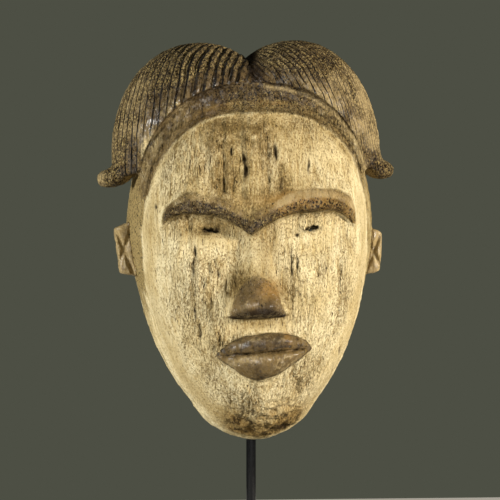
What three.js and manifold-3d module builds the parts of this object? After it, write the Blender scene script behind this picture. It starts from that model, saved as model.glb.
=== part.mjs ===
// A carved wooden face mask with a two-lobed coiffure, held up by a slender rod on a square foot.
// Millimetres, +Z up. The mask looks along -Y and the origin is the middle of the foot's underside.
import * as THREE from "three";
import { mergeVertices } from "three/addons/utils/BufferGeometryUtils.js";
import Module from "manifold-3d";

const wasm = await Module();
wasm.setup();

// Driving dimensions of the mask. Heights are above a line 2.5 mm over the chin's lowest point, depths
// are forward of the flat rim at the back, and widths are half widths from the middle plane.
const HEAD = {
  middle: 110, jawWidth: 70, templeWidth: 75, top: 222, bottom: -2.5, depth: 84,
  chinBroader: 0.18, chinHeight: 24,
};
const HEAD_POWER = { above: 2.3, below: 1.74, section: 3, crown: 3.8 };
// Gentle rises and hollows of the face: forehead, muzzle, chin, eye sockets and lids.
const SWELLS = [
  { x: 0, z: 168, width: 44, height: 26, rise: 4 },
  { x: 0, z: 48, width: 34, height: 26, rise: 3 },
  { x: 0, z: 12, width: 20, height: 13, rise: 4 },
  { x: 29, z: 122, width: 20, height: 10, rise: -5 },
  { x: 29, z: 120, width: 12, height: 5, rise: 2.5 },
];
const FACE = { width: 66.5, top: 194.5, bottom: 0.5, powerAbove: 2.75, powerBelow: 1.76, step: 1.6 };
const HAIRLINE = { width: 68, middle: 145, top: 208, power: 2.1, bevel: 3.5 };
const BAND_ROLL = { middle: 0.68, halfWidth: 0.34, rise: 1.9 };
const HOLLOW = { width: 60.5, jawWidth: 57, middle: 108, top: 207, bottom: 15, depth: 70 };
const LOBE_END = { x: 72, z: 160, slope: 0.25 };
const LEFT_LOBE = {
  side: -1, x: 29.5, z: 170, width: 53, height: 68, tilt: 9, strands: 28, columns: 3, groove: 1.3,
};
const RIGHT_LOBE = {
  side: 1, x: 27.5, z: 167, width: 52.5, height: 71.5, tilt: 34, strands: 45, columns: 2, groove: 0.9,
};
const LOBE = { crest: 18, front: 59, sideFront: 0.5, outline: 2.1, section: 2.8 };
// The strands of a lobe lie in planes that fan about a hinge behind it, like the pages of a book.
const HINGE = { x: 8, depth: -60, z: 170, last: 58, endTilt: 4 };
const TIP = { rootRadius: 7.5, endRadius: 4.6, deeper: 1.7, droop: 3 };
const LEFT_TIP = { root: [-73, 30, 168], end: [-89.5, 30, 157.5] };
const RIGHT_TIP = { root: [71, 30, 169], end: [84, 30, 159] };
const BROW = { below: 4.8, height: 4.8, sunk: 5, dipX: -3.5 };
const BROW_CURVE = [[0, 127.5], [12, 133], [24, 138.5], [36, 140.5], [45, 138.5], [51, 134], [55, 129.5]];
const EYE = { x: 29, shift: 1.3, z: 124.8, length: 10, height: 2.3, tilt: 15, slant: 16 };
const NOSE = {
  x: -1.5, top: 122, bottom: 73.5, topWidth: 5, bottomWidth: 18.5, topHeight: 1, bottomHeight: 17.5,
  bulb: 2.3, flare: 1.25,
};
const MOUTH = { x: 2, z: 53.5, width: 28.5, upper: 10.8, lower: 16, proud: 8.5, tilt: 3, lowerX: -4 };
const EAR = { inner: 62, back: 9, front: 30, slope: 4 };
const LEFT_EAR = { side: -1, outer: 83, bottomOuter: 79.5, bottom: 97.5, top: 132 };
const RIGHT_EAR = { side: 1, outer: 79.5, bottomOuter: 77.5, bottom: 94.5, top: 125.5 };
const EAR_CUT = { fromOuter: 6, width: 2.2, lean: 13 };

// Driving dimensions of the stand and how the mask sits on it.
const FOOT = { side: 110, height: 20, chamfer: 1.5, socketDepth: 14 };
const ROD = { radius: 3, sides: 14, bend: 11, bendStart: 172, hookDepth: 24, end: 204 };
const GAP = 0.3;
const CHIN_HEIGHT = 95;
const RIM_Y = 34;
const MASK_X = 0.8;
const MASK_ROLL = 1.5;

const wood = new THREE.MeshStandardMaterial({ color: 0xc4ad78, roughness: 0.85, metalness: 0 });
const steel = new THREE.MeshStandardMaterial({ color: 0x17181a, roughness: 0.35, metalness: 0.2 });
const lacquer = new THREE.MeshStandardMaterial({ color: 0x141414, roughness: 0.4, metalness: 0 });

const radians = THREE.MathUtils.degToRad;
const smoothstep = THREE.MathUtils.smoothstep;
const mix = THREE.MathUtils.lerp;
const hill = (x, z, width, height) => Math.exp(-((x / width) ** 2) - (z / height) ** 2);
const signedPower = (value, power) => Math.sign(value) * Math.abs(value) ** power;
const powerLength = (a, b, power) => (Math.abs(a) ** power + Math.abs(b) ** power) ** (1 / power);

// A closed body through rings of equal length, each ring a closed loop, with a fan over each end.
function loft(rings) {
  const count = rings[0].length;
  const points = rings.flat();
  const middle = (ring) => ring.reduce((sum, p) => sum.add(p), new THREE.Vector3()).divideScalar(count);
  points.push(middle(rings[0]), middle(rings.at(-1)));
  const faces = [];
  for (let i = 0; i + 1 < rings.length; i++) {
    for (let j = 0; j < count; j++) {
      const a = i * count + j;
      const b = i * count + ((j + 1) % count);
      faces.push(a, b, b + count, a, b + count, a + count);
    }
  }
  const last = (rings.length - 1) * count;
  for (let j = 0; j < count; j++) {
    const next = (j + 1) % count;
    faces.push(points.length - 2, next, j, points.length - 1, last + j, last + next);
  }
  const geometry = new THREE.BufferGeometry().setFromPoints(points);
  geometry.setIndex(faces);
  return geometry;
}

// A manifold solid of a closed geometry, turned the right way out.
function solid(geometry) {
  const bare = geometry.index ? geometry.toNonIndexed() : geometry.clone();
  for (const name of Object.keys(bare.attributes)) {
    if (name !== "position") bare.deleteAttribute(name);
  }
  const merged = mergeVertices(bare, 1e-4);
  const triVerts = new Uint32Array(merged.index.array);
  const corner = (i) => new THREE.Vector3().fromBufferAttribute(merged.attributes.position, triVerts[i]);
  let volume = 0;
  for (let i = 0; i < triVerts.length; i += 3) {
    volume += corner(i).dot(corner(i + 1).cross(corner(i + 2)));
  }
  if (volume < 0) triVerts.reverse();
  return new wasm.Manifold(
    new wasm.Mesh({ numProp: 3, vertProperties: merged.attributes.position.array, triVerts }),
  );
}

// A manifold solid as a mesh geometry.
function geometryOf(body) {
  const made = body.getMesh();
  const geometry = new THREE.BufferGeometry();
  geometry.setAttribute("position", new THREE.BufferAttribute(made.vertProperties, made.numProp));
  geometry.setIndex(new THREE.BufferAttribute(made.triVerts, 1));
  geometry.computeVertexNormals();
  return geometry;
}

const joined = (bodies) => bodies.reduce((whole, body) => whole.add(body));
const at = (x, depth, z) => new THREE.Vector3(x, -depth, z);

// How much broader than a plain oval the jaw is towards the chin.
const chinBroadening = (z) => 1 + HEAD.chinBroader * (1 - smoothstep(z, 0, HEAD.chinHeight));

// A point of the head's outline, a superellipse that is squarer above the middle than below it.
function ovalPoint(angle, { middle, width, jawWidth = width, top, bottom, powerAbove, powerBelow }) {
  const up = Math.sin(angle) > 0;
  const power = 2 / (up ? powerAbove : powerBelow);
  const height = up ? top - middle : middle - bottom;
  const z = middle + height * signedPower(Math.sin(angle), power);
  const half = mix(jawWidth, width, smoothstep(z, middle - 25, middle + 25)) * chinBroadening(z);
  return [half * signedPower(Math.cos(angle), power), z];
}

// How far out a point lies between an oval's middle, 0, and its outline, 1.
function reach(x, z, { middle, width, jawWidth = width, top, bottom, powerAbove, powerBelow }) {
  const up = z > middle;
  const half = mix(jawWidth, width, smoothstep(z, middle - 25, middle + 25)) * chinBroadening(z);
  const height = up ? top - middle : middle - bottom;
  return powerLength(x / half, (z - middle) / height, up ? powerAbove : powerBelow);
}

const faceOval = {
  middle: HEAD.middle, width: FACE.width, top: FACE.top, bottom: FACE.bottom,
  powerAbove: FACE.powerAbove, powerBelow: FACE.powerBelow,
};
const headOval = {
  middle: HEAD.middle, width: HEAD.templeWidth, jawWidth: HEAD.jawWidth, top: HEAD.top, bottom: HEAD.bottom,
  powerAbove: HEAD_POWER.above, powerBelow: HEAD_POWER.below,
};
const hairOval = {
  middle: HAIRLINE.middle, width: HAIRLINE.width, top: HAIRLINE.top, bottom: 0,
  powerAbove: HAIRLINE.power, powerBelow: HAIRLINE.power,
};

// The head's own depth, with its gentle rises and hollows but no carved features.
function headDepth(x, z) {
  const section = mix(HEAD_POWER.section, HEAD_POWER.crown, smoothstep(z, HEAD.middle, HEAD.top));
  const dome = HEAD.depth * Math.max(0, 1 - reach(x, z, headOval) ** section) ** (1 / section);
  const swell = SWELLS.reduce(
    (sum, { x: middle, z: level, width, height, rise }) =>
      sum + rise * hill(Math.abs(x) - middle, z - level, width, height),
    0,
  );
  return dome + swell * smoothstep(dome, 0, 0.6 * HEAD.depth);
}

// The rounded roll of the band between the face's edge and the hair.
function bandRoll(x, z) {
  const fromFace = (reach(x, z, faceOval) - 1) * mix(FACE.top - HEAD.middle, FACE.width, 0.7);
  const toHair = (1 - reach(x, z, hairOval)) * mix(HAIRLINE.top - HAIRLINE.middle, HAIRLINE.width, 0.5);
  const share = fromFace / Math.max(fromFace + toHair, 3);
  const section = Math.max(0, 1 - ((share - BAND_ROLL.middle) / BAND_ROLL.halfWidth) ** 2);
  const fade = smoothstep(fromFace + toHair, 2, 6) * smoothstep(z, 118, 150);
  return BAND_ROLL.rise * Math.sqrt(section) * fade;
}

// The head: rings that grow from the middle of the face to its carved edge, and on to the outline.
function makeHead() {
  const columns = 70;
  const faceRings = 13;
  const angles = Array.from({ length: columns }, (_, j) => (j / columns) * 2 * Math.PI);
  const rings = [];
  for (let i = 1; i <= faceRings; i++) {
    rings.push(angles.map((angle) => {
      const [edgeX, edgeZ] = ovalPoint(angle, faceOval);
      const x = (edgeX * i) / faceRings;
      const z = mix(HEAD.middle, edgeZ, i / faceRings);
      return at(x, headDepth(x, z), z);
    }));
  }
  for (const share of [0.06, 0.18, 0.3, 0.42, 0.5, 0.74, 0.94]) {
    rings.push(angles.map((angle) => {
      const [faceX, faceZ] = ovalPoint(angle, faceOval);
      const [headX, headZ] = ovalPoint(angle, headOval);
      const x = mix(faceX, headX, share);
      const z = mix(faceZ, headZ, share);
      const step = FACE.step * smoothstep(faceZ, 95, 120);
      return at(x, Math.max(0, headDepth(x, z) - step + bandRoll(x, z)), z);
    }));
  }
  for (const depth of [8, -8]) {
    rings.push(angles.map((angle) => {
      const [x, z] = ovalPoint(angle, headOval);
      return at(x, depth, z);
    }));
  }
  return solid(loft(rings));
}

// How far out a point lies between a lobe's middle, 0, and its surface, 1.
function lobeReach(lobe, { x, y: depth, z }) {
  const out = (lobe.side * x - lobe.x) / lobe.width;
  const up = (z - lobe.z) / lobe.height;
  const front = LOBE.front * mix(1, LOBE.sideFront, THREE.MathUtils.clamp(out, 0, 1) ** 1.5);
  return powerLength(powerLength(up, out, LOBE.outline), (depth - LOBE.crest) / front, LOBE.section);
}

// Where a line from inside a lobe comes out of it.
function lobeSurface(lobe, from, direction, sink) {
  let near = 0;
  let far = 160;
  for (let step = 0; step < 24; step++) {
    const middle = (near + far) / 2;
    const point = from.clone().addScaledVector(direction, middle);
    if (lobeReach(lobe, point) < 1) near = middle;
    else far = middle;
  }
  return from.clone().addScaledVector(direction, near - sink);
}

// One lobe of hair: loops on the fanned planes, with a cut between one strand and the next.
function makeLobe(lobe) {
  const total = lobe.strands * lobe.columns;
  const loopAngles = [-34, -16, 0, 14, 27, 40, 53, 66, 79, 92, 106, 122, 180, 250].map(radians);
  const hinge = new THREE.Vector3(-lobe.side * HINGE.x, HINGE.depth, HINGE.z);
  const centre = new THREE.Vector3(lobe.side * lobe.x, LOBE.crest, lobe.z);
  const loops = [];
  for (let i = 0; i <= total; i++) {
    const turn = radians((HINGE.last * i) / total);
    const tilt = radians(mix(lobe.tilt, HINGE.endTilt, i / total));
    const upward = new THREE.Vector3(-lobe.side * Math.sin(tilt), 0, Math.cos(tilt));
    const outward = new THREE.Vector3(lobe.side * Math.cos(tilt), 0, Math.sin(tilt));
    const forward = new THREE.Vector3(0, Math.cos(turn), 0).addScaledVector(outward, Math.sin(turn));
    const normal = upward.clone().cross(forward);
    const offset = centre.clone().sub(hinge).dot(normal);
    const middle = centre.clone().addScaledVector(normal, -offset);
    const sink = i % lobe.columns === 0 ? lobe.groove : 0;
    loops.push(loopAngles.map((angle) => {
      const direction = forward.clone().multiplyScalar(Math.cos(angle));
      direction.addScaledVector(upward, Math.sin(angle));
      const point = lobeSurface(lobe, middle, direction, sink);
      return at(point.x, point.y, point.z);
    }));
  }
  return solid(loft(loops));
}

// The lock that flicks outward at a lobe's lower end.
function makeTip({ root, end }) {
  const side = Math.sign(end[0]);
  const rings = [];
  for (const t of [0, 0.25, 0.5, 0.75, 0.92, 1]) {
    const radius = mix(TIP.rootRadius, TIP.endRadius, t) * (t === 1 ? 0.6 : 1);
    const droop = TIP.droop * Math.sin(Math.PI * t);
    const x = mix(root[0], end[0], t) - 0.6 * side * droop;
    const depth = mix(root[1], end[1], t);
    const z = mix(root[2], end[2], t) - droop;
    rings.push(Array.from({ length: 12 }, (_, j) => {
      const angle = (j / 12) * 2 * Math.PI;
      const lift = radius * Math.cos(angle);
      return at(x + 0.64 * side * lift, depth + TIP.deeper * radius * Math.sin(angle), z + 0.77 * lift);
    }));
  }
  return solid(loft(rings));
}

// The prism inside the hairline, flared towards the front so that the hair's edge is chamfered.
function hairOpening() {
  const columns = 60;
  const outline = (grow, depth) =>
    Array.from({ length: columns }, (_, j) => {
      const angle = (j / columns) * 2 * Math.PI;
      const [x, z] = ovalPoint(angle, {
        ...hairOval, width: HAIRLINE.width + grow, top: HAIRLINE.top + grow,
      });
      return at(x, depth, z);
    });
  return solid(loft([
    outline(0, -20),
    outline(0, 40),
    outline(HAIRLINE.bevel * 0.4, 56),
    outline(HAIRLINE.bevel * 2, 100),
  ]));
}

// Everything below the lobes' lower ends, which rise towards the head.
function belowHair(side) {
  const wedge = new THREE.BoxGeometry(120, 200, 200);
  wedge.translate(-40, 0, -100);
  wedge.rotateY(Math.atan(LOBE_END.slope));
  wedge.scale(side, 1, 1);
  wedge.translate(side * LOBE_END.x, 0, LOBE_END.z);
  return solid(wedge);
}

function makeHair() {
  const lobes = makeLobe(LEFT_LOBE).add(makeLobe(RIGHT_LOBE));
  const cut = joined([hairOpening(), belowHair(-1), belowHair(1)]);
  return joined([lobes.subtract(cut), makeTip(LEFT_TIP), makeTip(RIGHT_TIP)]);
}

// The brow: a raised band along a curve that dips to a point between the eyes.
function makeBrow() {
  const half = new THREE.SplineCurve(BROW_CURVE.map(([x, z]) => new THREE.Vector2(x, z)));
  const stations = [];
  for (let i = -14; i <= 14; i++) stations.push(i / 14);
  return solid(loft(stations.map((s) => {
    const centre = half.getPoint(Math.abs(s));
    const along = half.getTangent(Math.abs(s));
    const taper = Math.sqrt(Math.max(0.02, 1 - Math.abs(s) ** 5));
    const wide = BROW.below * taper;
    const proud = BROW.height * taper;
    const across = new THREE.Vector2(-along.y * Math.sign(s), along.x);
    const ridge = [[-1, 0.1], [-0.72, 0.55], [-0.42, 0.95], [0.2, 1], [0.85, 0.75], [1.4, 0.35], [1.9, 0.05]];
    const section = [[-1, -BROW.sunk], ...ridge, [1.9, -BROW.sunk]];
    return section.map(([w, h]) => {
      const shift = BROW.dipX * (1 - Math.abs(s));
      const x = Math.sign(s) * centre.x + shift + across.x * w * wide;
      const z = centre.y + across.y * w * wide;
      const lift = h < -1 ? h : h * proud;
      return at(x, headDepth(x, z) + lift, z);
    });
  })));
}

// What the wings of the nostrils and the tip add to the nose's plain shape.
const nostrilWing = (side, z) =>
  3.4 * hill(side - 12, z - 80.5, 4.2, 5.4) - 2.4 * hill(side - 7.2, z - 80, 2.2, 6.5) +
  1.2 * hill(side, z - 84, 4.5, 7);

// The nose: level slices that widen and stand prouder towards the nostrils.
function makeNose() {
  const levels = [1, 0.85, 0.65, 0.45, 0.3, 0.2, 0.12, 0.06, 0.02, 0];
  return solid(loft(levels.map((t) => {
    const z = mix(NOSE.bottom, NOSE.top, t);
    const flare = (1 - t) ** NOSE.flare;
    const round = Math.sqrt(Math.max(0, 1 - Math.max(0, 1 - t / 0.16) ** 2));
    const wide = mix(NOSE.topWidth, NOSE.bottomWidth, flare) * mix(0.93, 1, round);
    const proud = mix(NOSE.topHeight, NOSE.bottomHeight, (1 - t) ** NOSE.bulb) * mix(0.6, 1, round);
    const loop = [];
    for (let j = 0; j <= 12; j++) {
      const across = mix(-1, 1, j / 12);
      const arch = (1 - Math.abs(across) ** 2.1) ** 0.62;
      const wing = nostrilWing(Math.abs(across * wide), z) * smoothstep(arch * proud, 1, 4) * round;
      loop.push(at(NOSE.x + across * wide, headDepth(0, z) - 2 + (2 + proud) * arch + wing, z));
    }
    loop.push(at(NOSE.x + wide * 0.7, 50, z), at(NOSE.x - wide * 0.7, 50, z));
    return loop;
  })));
}

// The lower lip hangs lowest a little to the viewer's left of the mouth's middle.
function lowerLipFullness(x) {
  const from = x - MOUTH.x - MOUTH.lowerX;
  const run = MOUTH.width + Math.sign(from) * -MOUTH.lowerX;
  return (1 - (from / run) ** 2) ** 0.95;
}

// One lip: a crescent between the parting line and its own edge.
function makeLip(direction) {
  const tall = direction > 0 ? MOUTH.upper : MOUTH.lower;
  const stations = Array.from({ length: 17 }, (_, i) => mix(-0.97, 0.97, i / 16));
  return solid(loft(stations.map((s) => {
    const x = MOUTH.x + s * MOUTH.width;
    const parting = MOUTH.z + s * MOUTH.width * Math.sin(radians(MOUTH.tilt));
    const fullness = direction > 0 ? (1 - Math.abs(s) ** 2.6) ** 0.75 : lowerLipFullness(x);
    const height = tall * fullness;
    const proud = MOUTH.proud * (1 - s * s) ** 0.6;
    const section = [[0, -6], [0, 0.55], [0.15, 0.85], [0.4, 1], [0.7, 0.85], [0.93, 0.4], [1, -6]];
    return section.map(([up, out]) => {
      const z = parting + direction * (0.3 + up * height);
      const lift = out < 0 ? out : out * proud;
      return at(x, headDepth(x, z) + lift, z);
    });
  })));
}

// A block ear with an X cut into its front.
function makeEar({ side, outer, bottomOuter, bottom, top }) {
  const corners = [
    [EAR.inner, bottom],
    [bottomOuter, bottom + EAR.slope],
    [outer, top - EAR.slope],
    [EAR.inner, top + EAR.slope],
  ];
  const outline = new THREE.Shape(corners.map(([x, z]) => new THREE.Vector2(x, z)));
  const block = new THREE.ExtrudeGeometry(outline, { depth: EAR.front - EAR.back, bevelEnabled: false });
  block.rotateX(Math.PI / 2);
  block.translate(0, -EAR.back, 0);
  const middle = new THREE.Vector3(outer - EAR_CUT.fromOuter, -EAR.front, (bottom + top) / 2);
  const bars = [-1, 1].map((lean) => {
    const bar = new THREE.BoxGeometry(EAR_CUT.width, EAR_CUT.width, 60);
    bar.rotateZ(Math.PI / 4);
    bar.rotateY(lean * Math.atan2(EAR_CUT.lean, top - bottom));
    bar.translate(middle.x, middle.y, middle.z);
    return solid(bar);
  });
  const ear = geometryOf(solid(block).subtract(joined(bars)));
  return solid(ear.scale(side, 1, 1));
}

// The hollow behind the face, open at the rim.
function makeHollow() {
  const oval = {
    middle: HOLLOW.middle, width: HOLLOW.width, jawWidth: HOLLOW.jawWidth, top: HOLLOW.top,
    bottom: HOLLOW.bottom, powerAbove: 2.3, powerBelow: 1.8,
  };
  const columns = 36;
  const rings = [];
  for (const turn of [6, 20, 34, 48, 60, 70, 79, 90]) {
    const grow = Math.sin(radians(turn)) ** (2 / 3.2);
    const depth = HOLLOW.depth * Math.cos(radians(turn)) ** (2 / 3.2);
    rings.push([grow, depth]);
  }
  rings.push([1, -20]);
  return solid(loft(rings.map(([grow, depth]) =>
    Array.from({ length: columns }, (_, j) => {
      const [x, z] = ovalPoint((j / columns) * 2 * Math.PI, oval);
      return at(x * grow, depth, HOLLOW.middle + (z - HOLLOW.middle) * grow);
    }),
  )));
}

// A slit for the wearer to look through, which runs down as it goes in.
function makeEyeSlit(side) {
  const slit = new THREE.CylinderGeometry(EYE.height / 2, EYE.height / 2, 80, 8);
  slit.scale(EYE.length / EYE.height, 1, 1);
  slit.rotateY(side * radians(-EYE.tilt));
  slit.rotateX(-radians(EYE.slant));
  slit.translate(side * EYE.x + EYE.shift, -headDepth(EYE.x, EYE.z), EYE.z);
  return solid(slit);
}

function makeMask() {
  const behind = new THREE.BoxGeometry(400, 200, 600);
  behind.translate(0, 100, 0);
  const features = joined([makeBrow(), makeNose(), makeLip(1), makeLip(-1)]);
  const outside = joined([makeHead(), makeHair(), makeEar(LEFT_EAR), makeEar(RIGHT_EAR), features]);
  const inside = joined([makeHollow(), solid(behind), makeEyeSlit(-1), makeEyeSlit(1)]);
  return geometryOf(outside.subtract(inside));
}

// The rod: up behind the rim, over into the hollow, and up again to just under its roof.
function makeRod() {
  const back = RIM_Y + GAP + ROD.radius;
  const hook = RIM_Y - ROD.hookDepth;
  const turnZ = CHIN_HEIGHT + ROD.bendStart;
  const bend = ROD.bend;
  const path = [[back, FOOT.height - FOOT.socketDepth + GAP, 0]];
  for (let turn = 0; turn <= 90; turn += 15) {
    const angle = radians(turn);
    path.push([back - bend + bend * Math.cos(angle), turnZ + bend * Math.sin(angle), angle]);
  }
  for (let turn = 90; turn >= 0; turn -= 15) {
    const angle = radians(turn);
    path.push([hook + bend - bend * Math.cos(angle), turnZ + 2 * bend - bend * Math.sin(angle), angle]);
  }
  path.push([hook, CHIN_HEIGHT + ROD.end, 0]);
  return loft(path.map(([y, z, heading]) =>
    Array.from({ length: ROD.sides }, (_, j) => {
      const around = (j / ROD.sides) * 2 * Math.PI;
      const across = ROD.radius * Math.sin(around);
      return new THREE.Vector3(
        ROD.radius * Math.cos(around),
        y + across * Math.cos(heading),
        z + across * Math.sin(heading),
      );
    }),
  ));
}

// The foot: a square block with chamfered upper edges and a blind socket for the rod.
function makeFoot() {
  const half = FOOT.side / 2;
  const square = (size, z) =>
    [[-1, -1], [1, -1], [1, 1], [-1, 1]].map(([x, y]) => new THREE.Vector3(x * size, y * size, z));
  const block = loft([
    square(half, 0),
    square(half, FOOT.height - FOOT.chamfer),
    square(half - FOOT.chamfer, FOOT.height),
  ]);
  const socket = new THREE.CylinderGeometry(ROD.radius + GAP, ROD.radius + GAP, 2 * FOOT.socketDepth, 28);
  socket.rotateX(Math.PI / 2);
  socket.translate(0, RIM_Y + GAP + ROD.radius, FOOT.height);
  return geometryOf(solid(block).subtract(solid(socket)));
}

function addPart(group, name, geometry, material) {
  const mesh = new THREE.Mesh(geometry, material);
  mesh.name = name;
  group.add(mesh);
  return mesh;
}

const model = new THREE.Group();
const mask = addPart(model, "mask", makeMask(), wood);
mask.position.set(MASK_X, RIM_Y, CHIN_HEIGHT);
mask.rotation.y = -radians(MASK_ROLL);
addPart(model, "stand_rod", makeRod(), steel);
addPart(model, "stand_base", makeFoot(), lacquer);

export default model;
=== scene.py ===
"""A carved wooden face mask with a two-lobed coiffure, on a rod and a square foot."""

import math
from types import SimpleNamespace

import bpy
import numpy as np
from bpy.props import FloatProperty, FloatVectorProperty, IntProperty, PointerProperty
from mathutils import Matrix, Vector


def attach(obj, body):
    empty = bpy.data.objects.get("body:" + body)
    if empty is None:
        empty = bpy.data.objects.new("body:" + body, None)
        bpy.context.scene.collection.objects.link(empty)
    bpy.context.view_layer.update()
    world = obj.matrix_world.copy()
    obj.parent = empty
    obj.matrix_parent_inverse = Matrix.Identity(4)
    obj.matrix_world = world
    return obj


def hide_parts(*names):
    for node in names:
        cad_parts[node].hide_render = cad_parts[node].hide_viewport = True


bl_info = {
    "name": "Carved face mask on a rod",
    "version": (1, 0, 0),
    "blender": (4, 5, 0),
    "location": "View3D > Sidebar > Mask",
    "description": "Builds a weathered wooden face mask, its rod and foot, and a plain studio",
    "category": "Object",
}

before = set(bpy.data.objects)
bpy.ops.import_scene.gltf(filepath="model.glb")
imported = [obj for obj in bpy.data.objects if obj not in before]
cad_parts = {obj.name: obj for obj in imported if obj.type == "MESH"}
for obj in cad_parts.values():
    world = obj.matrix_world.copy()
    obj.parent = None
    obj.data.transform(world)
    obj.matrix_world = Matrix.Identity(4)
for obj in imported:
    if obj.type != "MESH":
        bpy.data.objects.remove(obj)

# The mask's own frame: x to the viewer's right, depth forward of the flat rim, z above the chin,
# all in millimetres. These sizes are the carving's driving dimensions. Each oval is a superellipse with
# one power above its middle and one below, and radius turns a share of its reach into millimetres.
HEAD = dict(
    middle=110, jaw_width=70, temple_width=75, top=222, bottom=-2.5, depth=84, above=2.3, below=1.74,
    section=3, crown=3.8, radius=74,
)
CHIN = dict(broader=0.18, height=24)
FACE = dict(
    width=66.5, middle=110, top=194.5, bottom=0.5, above=2.75, below=1.76, step=1.6, lean=2.5
)
HAIRLINE = dict(width=68, middle=145, top=208, bottom=0, above=2.1, below=2.1, bevel=3.5)
HOLLOW = dict(
    middle=108, jaw_width=57, temple_width=60.5, top=207, bottom=15, depth=70, above=2.3, below=1.8,
    section=3.2, radius=58,
)
LOBE_END = dict(x=72, z=160, slope=0.25)
LEFT_LOBE = dict(side=-1, x=29.5, z=170, width=53, height=68, tilt=9, strands=28, groove=1.15)
RIGHT_LOBE = dict(side=1, x=27.5, z=167, width=52.5, height=71.5, tilt=34, strands=45, groove=0.6)
LOBE = dict(crest=18, front=59, side_front=0.5, outline=2.1, section=2.8, radius=52)
# The strands of each lobe lie in planes that fan about a hinge behind it, like the pages of a book.
HINGE = dict(x=8, depth=-60, z=170, last=58, end_tilt=4)
TIPS = [((-73, 30, 168), (-89.5, 30, 157.5)), ((71, 30, 169), (84, 30, 159))]
TIP = dict(root_radius=7.5, end_radius=4.4, deeper=1.7, droop=3)
BROW_CURVE = [(0, 127.5), (12, 133), (24, 138.5), (36, 140.5), (45, 139.5), (52, 136), (57.5, 130.5)]
BROW = dict(height=4.8, above_inner=6.8, above_outer=7.5, below=4.2, dip_x=-5.5, left_taper=0.6)
EYE = dict(x=29, shift=1.3, z=124.8, length=11, height=2.5, tilt=15, slant=16)
NOSE = dict(
    x=-2.5, top=124, bottom=75.3, top_width=8, bottom_width=19.5, top_height=2.2, bottom_height=17.5,
    bulb=2.1, flare=1.7,
)
MOUTH = dict(x=1.3, z=53.5, width=28.2, upper=10.9, lower=16, proud=8.5, tilt=3, lower_x=-3.3)
EAR = dict(inner=62, back=9, front=30, slope=4, cut_from_outer=6, lean=13)
EARS = [
    dict(side=-1, outer=83, bottom_outer=79.5, bottom=97.5, top=132),
    dict(side=1, outer=79.5, bottom_outer=77.5, bottom=94.5, top=125.5),
]

# Gentle rises and hollows of the face: forehead, muzzle, chin, eye sockets and lids.
SWELLS = [
    dict(x=0, z=168, width=44, height=26, rise=4),
    dict(x=0, z=48, width=34, height=26, rise=3),
    dict(x=0, z=12, width=20, height=13, rise=4),
    dict(x=29, z=122, width=22, height=11, rise=-6),
    dict(x=40, z=92, width=18, height=18, rise=2),
    dict(x=29, z=120, width=12, height=5, rise=2.5),
]


def linear(hex_colour):
    """A screen colour such as #c4ad78 as the linear colour that shaders use."""
    parts = [int(hex_colour[n:n + 2], 16) / 255 for n in (1, 3, 5)]
    return tuple([p / 12.92 if p <= 0.04045 else ((p + 0.055) / 1.055) ** 2.4 for p in parts] + [1.0])


class MaskPlacement(bpy.types.PropertyGroup):
    """Where the mask sits in the frame and how finely it is meshed."""

    rim_y: FloatProperty(
        name="Rim", description="Depth at which the mask's flat rim stands", default=0.034, unit="LENGTH"
    )
    chin_height: FloatProperty(
        name="Chin height", description="Height of the chin above the ground", default=0.095, unit="LENGTH"
    )
    offset: FloatProperty(
        name="Sideways offset", description="How far the mask sits to the right of the rod",
        default=0.0008, unit="LENGTH",
    )
    roll: FloatProperty(
        name="Roll", description="Lean of the mask to the viewer's left",
        default=math.radians(1.5), subtype="ANGLE",
    )
    voxel: FloatProperty(
        name="Voxel", description="Spacing of the grid that the carving is meshed on",
        default=0.0008, unit="LENGTH",
    )
    triangles: IntProperty(
        name="Triangles", description="Most triangles kept in the finished mask", default=190000, min=1000
    )


class WoodFinish(bpy.types.PropertyGroup):
    """The colours of the wood, as its owner would name them."""

    bare_wood: FloatVectorProperty(
        name="Bare wood", description="Pale wood of the face where it is least weathered",
        size=4, default=linear("#eedeb0"), min=0, max=1, subtype="COLOR",
    )
    # Also laid as painted shade at the face's edges and top rim, on the lids and round the nose.
    stained_and_shaded_wood: FloatVectorProperty(
        name="Stained wood", description="Bare wood darkened by smoke and damp at the forehead and chin",
        size=4, default=linear("#9f8650"), min=0, max=1, subtype="COLOR",
    )
    patina: FloatVectorProperty(
        name="Patina", description="Brown patina of the lips, nose, ears and sides",
        size=4, default=linear("#725d37"), min=0, max=1, subtype="COLOR",
    )
    # Also laid as painted shade under the nose's tip and as the hair's painted shadow on the band.
    deep_patina_and_shade: FloatVectorProperty(
        name="Deep patina", description="Darkest patina, on the hair and the brow",
        size=4, default=linear("#5a492d"), min=0, max=1, subtype="COLOR",
    )
    # Also laid as painted highlights on the hair's ends, the lips and the nose's wings, and as painted
    # light along the hairline.
    rubbed_edge_and_glints: FloatVectorProperty(
        name="Rubbed edge", description="Where handling has rubbed the patina thin",
        size=4, default=linear("#b09a6c"), min=0, max=1, subtype="COLOR",
    )
    # Also laid as painted shade under the nose and the brow, round the eye slits and in the hair's cleft.
    cavity_and_shade: FloatVectorProperty(
        name="Cavity", description="Dirt and shade in holes, splits and cuts",
        size=4, default=linear("#20150a"), min=0, max=1, subtype="COLOR",
    )


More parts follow.
